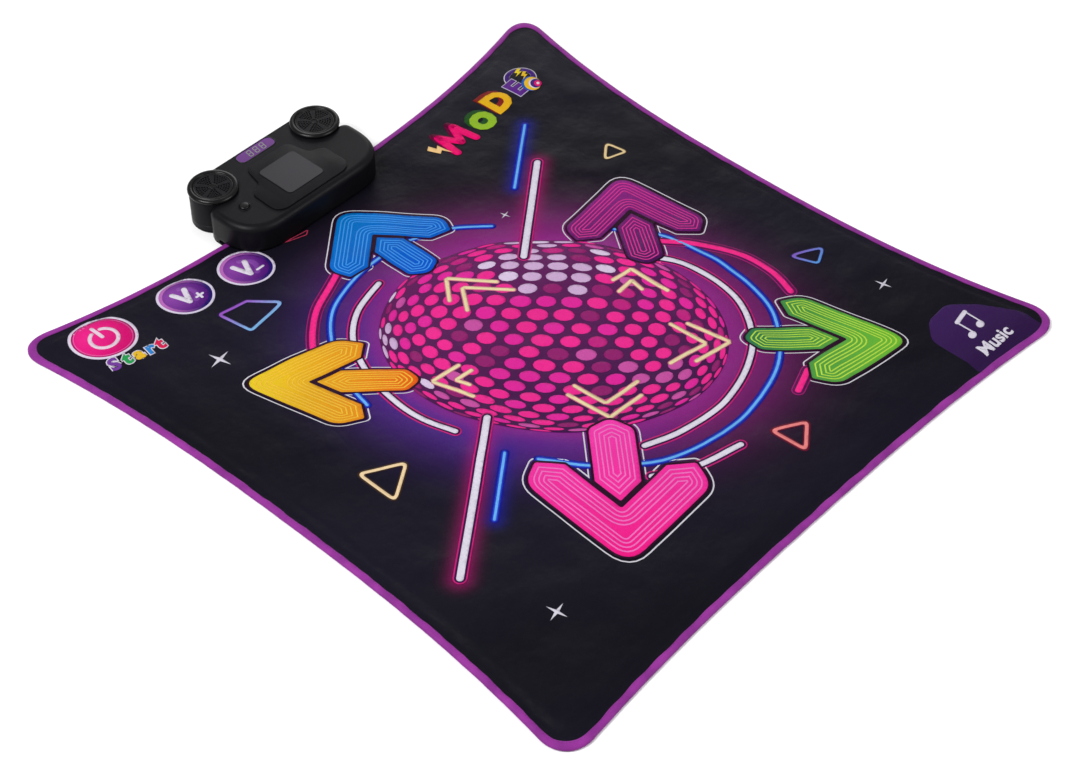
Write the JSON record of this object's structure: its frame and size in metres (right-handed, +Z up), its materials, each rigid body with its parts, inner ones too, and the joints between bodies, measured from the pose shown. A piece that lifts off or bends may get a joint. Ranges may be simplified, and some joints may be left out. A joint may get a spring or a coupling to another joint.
{
  "type": "dance rhythm machine",
  "caption": "Padded fabric dance mat with printed arrows and pressure keys inside it, and a black battery console with speakers, display and push button on its far edge.",
  "frame": {"origin": "on the floor, at the middle of the mat's underside", "axes": "+Z up, +Y towards the console on the mat's far edge, +X to the dancer's right"},
  "size_m": [0.9102, 0.9514, 0.054],
  "materials": {
    "binding_tape": "woven polyester tape",
    "black_plastic": "satin",
    "board": "satin",
    "carbon_pad": "matte",
    "cell_jacket": "satin",
    "component": "matte",
    "film": "clear satin polyester",
    "foam": "open foam",
    "grip_cloth": "coarse non-slip cloth",
    "magnet": "dark grey ferrite",
    "paper_cone": "matte",
    "printed_cloth": "satin-faced polyester",
    "purple_window": "gloss",
    "rubber": "matte",
    "steel": "plain, slightly brushed",
    "sticker": "satin print"
  },
  "bodies": {
    "machine": {"battery_1": "cell_jacket", "battery_2": "cell_jacket", "battery_3": "cell_jacket", "battery_spring_1": "steel", "battery_spring_2": "steel", "battery_spring_3": "steel", "button_switch": "component", "case_screw_back_left": "steel", "case_screw_back_right": "steel", "case_screw_front_left": "steel", "case_screw_front_right": "steel", "centre_plate": "black_plastic", "centre_sticker": "sticker", "console_base": "black_plastic", "console_top": "black_plastic", "contact_link_left": "steel", "contact_link_right": "steel", "contact_minus": "steel", "contact_plus": "steel", "display_board": "board", "display_digits": "component", "display_window": "purple_window", "edge_binding": "binding_tape", "film_connector": "component", "film_tail": "film", "foam_pad": "foam", "foot_back_left": "rubber", "foot_back_right": "rubber", "foot_front_left": "rubber", "foot_front_right": "rubber", "main_board": "board", "mat_base_cloth": "grip_cloth", "mat_clamp_bar": "black_plastic", "printed_cover": "printed_cloth", "sensor_film_lower": "film", "sensor_film_upper": "film", "sensor_spacer": "foam", "sound_chip": "component", "speaker_frame_left": "steel", "speaker_frame_right": "steel", "speaker_grille_left": "black_plastic", "speaker_grille_right": "black_plastic", "speaker_magnet_left": "magnet", "speaker_magnet_right": "magnet"},
    "key_arrow_ahead": {"key_arrow_ahead": "carbon_pad"},
    "key_arrow_far_left": {"key_arrow_far_left": "carbon_pad"},
    "key_arrow_far_right": {"key_arrow_far_right": "carbon_pad"},
    "key_arrow_near_left": {"key_arrow_near_left": "carbon_pad"},
    "key_arrow_near_right": {"key_arrow_near_right": "carbon_pad"},
    "key_mode": {"key_mode": "carbon_pad"},
    "key_music": {"key_music": "carbon_pad"},
    "key_start": {"key_start": "carbon_pad"},
    "key_volume_down": {"key_volume_down": "carbon_pad"},
    "key_volume_up": {"key_volume_up": "carbon_pad"},
    "speaker_cone_left": {"speaker_cone_left": "paper_cone"},
    "speaker_cone_right": {"speaker_cone_right": "paper_cone"},
    "power_button": {"power_button": "black_plastic"},
    "battery_door": {"battery_door": "black_plastic", "door_screw_left": "steel", "door_screw_right": "steel"}
  },
  "joints": [
    {"name": "key_arrow_ahead_press", "type": "slide", "parent": "machine", "child": "key_arrow_ahead", "axis": [0, 0, -1], "range_m": [0, 0.001], "stiffness_N_per_m": 4000},
    {"name": "key_arrow_far_left_press", "type": "slide", "parent": "machine", "child": "key_arrow_far_left", "axis": [0, 0, -1], "range_m": [0, 0.001], "stiffness_N_per_m": 4000},
    {"name": "key_arrow_far_right_press", "type": "slide", "parent": "machine", "child": "key_arrow_far_right", "axis": [0, 0, -1], "range_m": [0, 0.001], "stiffness_N_per_m": 4000},
    {"name": "key_arrow_near_left_press", "type": "slide", "parent": "machine", "child": "key_arrow_near_left", "axis": [0, 0, -1], "range_m": [0, 0.001], "stiffness_N_per_m": 4000},
    {"name": "key_arrow_near_right_press", "type": "slide", "parent": "machine", "child": "key_arrow_near_right", "axis": [0, 0, -1], "range_m": [0, 0.001], "stiffness_N_per_m": 4000},
    {"name": "key_mode_press", "type": "slide", "parent": "machine", "child": "key_mode", "axis": [0, 0, -1], "range_m": [0, 0.001], "stiffness_N_per_m": 4000},
    {"name": "key_music_press", "type": "slide", "parent": "machine", "child": "key_music", "axis": [0, 0, -1], "range_m": [0, 0.001], "stiffness_N_per_m": 4000},
    {"name": "key_start_press", "type": "slide", "parent": "machine", "child": "key_start", "axis": [0, 0, -1], "range_m": [0, 0.001], "stiffness_N_per_m": 4000},
    {"name": "key_volume_down_press", "type": "slide", "parent": "machine", "child": "key_volume_down", "axis": [0, 0, -1], "range_m": [0, 0.001], "stiffness_N_per_m": 4000},
    {"name": "key_volume_up_press", "type": "slide", "parent": "machine", "child": "key_volume_up", "axis": [0, 0, -1], "range_m": [0, 0.001], "stiffness_N_per_m": 4000},
    {"name": "speaker_cone_left_throw", "type": "slide", "parent": "machine", "child": "speaker_cone_left", "axis": [0, 0, 1], "range_m": [-0.001, 0.001], "stiffness_N_per_m": 1500},
    {"name": "speaker_cone_right_throw", "type": "slide", "parent": "machine", "child": "speaker_cone_right", "axis": [0, 0, 1], "range_m": [-0.001, 0.001], "stiffness_N_per_m": 1500},
    {"name": "power_button_press", "type": "slide", "parent": "machine", "child": "power_button", "axis": [0, 0, -1], "range_m": [0, 0.0008], "stiffness_N_per_m": 1000},
    {"name": "battery_door_lift_out", "type": "slide", "parent": "machine", "child": "battery_door", "axis": [0, 0, -1], "range_m": [0, 0.03]}
  ]
}
